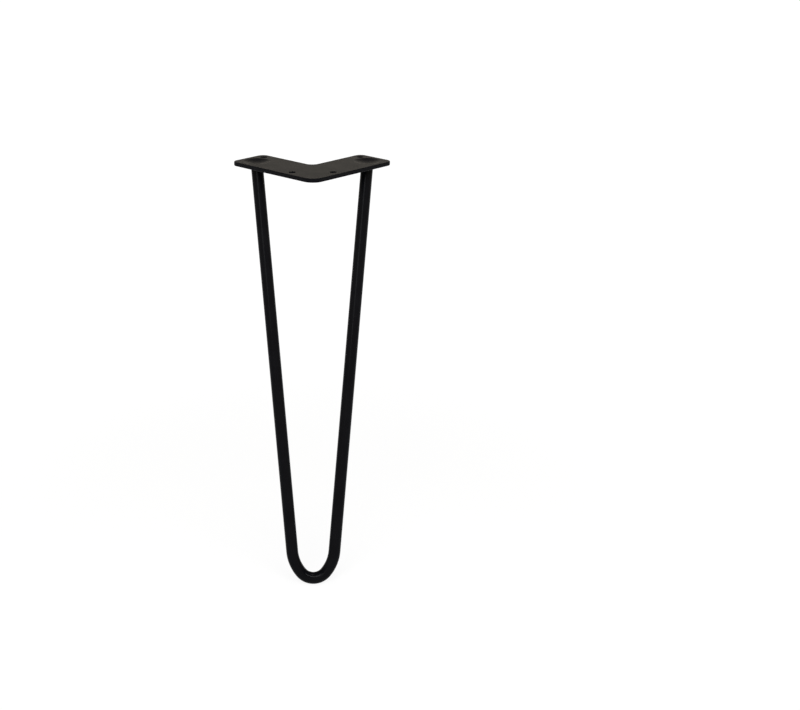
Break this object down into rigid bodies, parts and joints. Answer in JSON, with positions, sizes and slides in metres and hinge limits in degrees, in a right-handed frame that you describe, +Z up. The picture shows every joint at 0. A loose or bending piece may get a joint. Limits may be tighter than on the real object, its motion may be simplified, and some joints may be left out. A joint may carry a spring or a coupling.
{
  "type": "hairpin table leg",
  "caption": "Hairpin table leg: a round bar bent to a narrow V with a rounded foot, welded into a right-angled plate that screws under a table top.",
  "frame": {"origin": "on the plate's top face, which meets the underside of the table top, where the middle lines of the two arms cross", "axes": "+Z up out of the top face and away from the foot; -Y towards the plate's corner, which points to the corner of the table; X from one arm to the other"},
  "size_m": [0.1526, 0.1461, 0.406],
  "materials": {
    "plate_coating": "satin black powder coat on steel sheet",
    "bar_coating": "satin black powder coat on drawn steel bar",
    "weld_coating": "satin black powder coat on steel weld"
  },
  "bodies": {
    "root": {"mounting_plate": "plate_coating", "hairpin_rod": "bar_coating", "plug_weld_left": "weld_coating", "plug_weld_right": "weld_coating", "fillet_weld_left": "weld_coating", "fillet_weld_right": "weld_coating"}
  },
  "joints": []
}
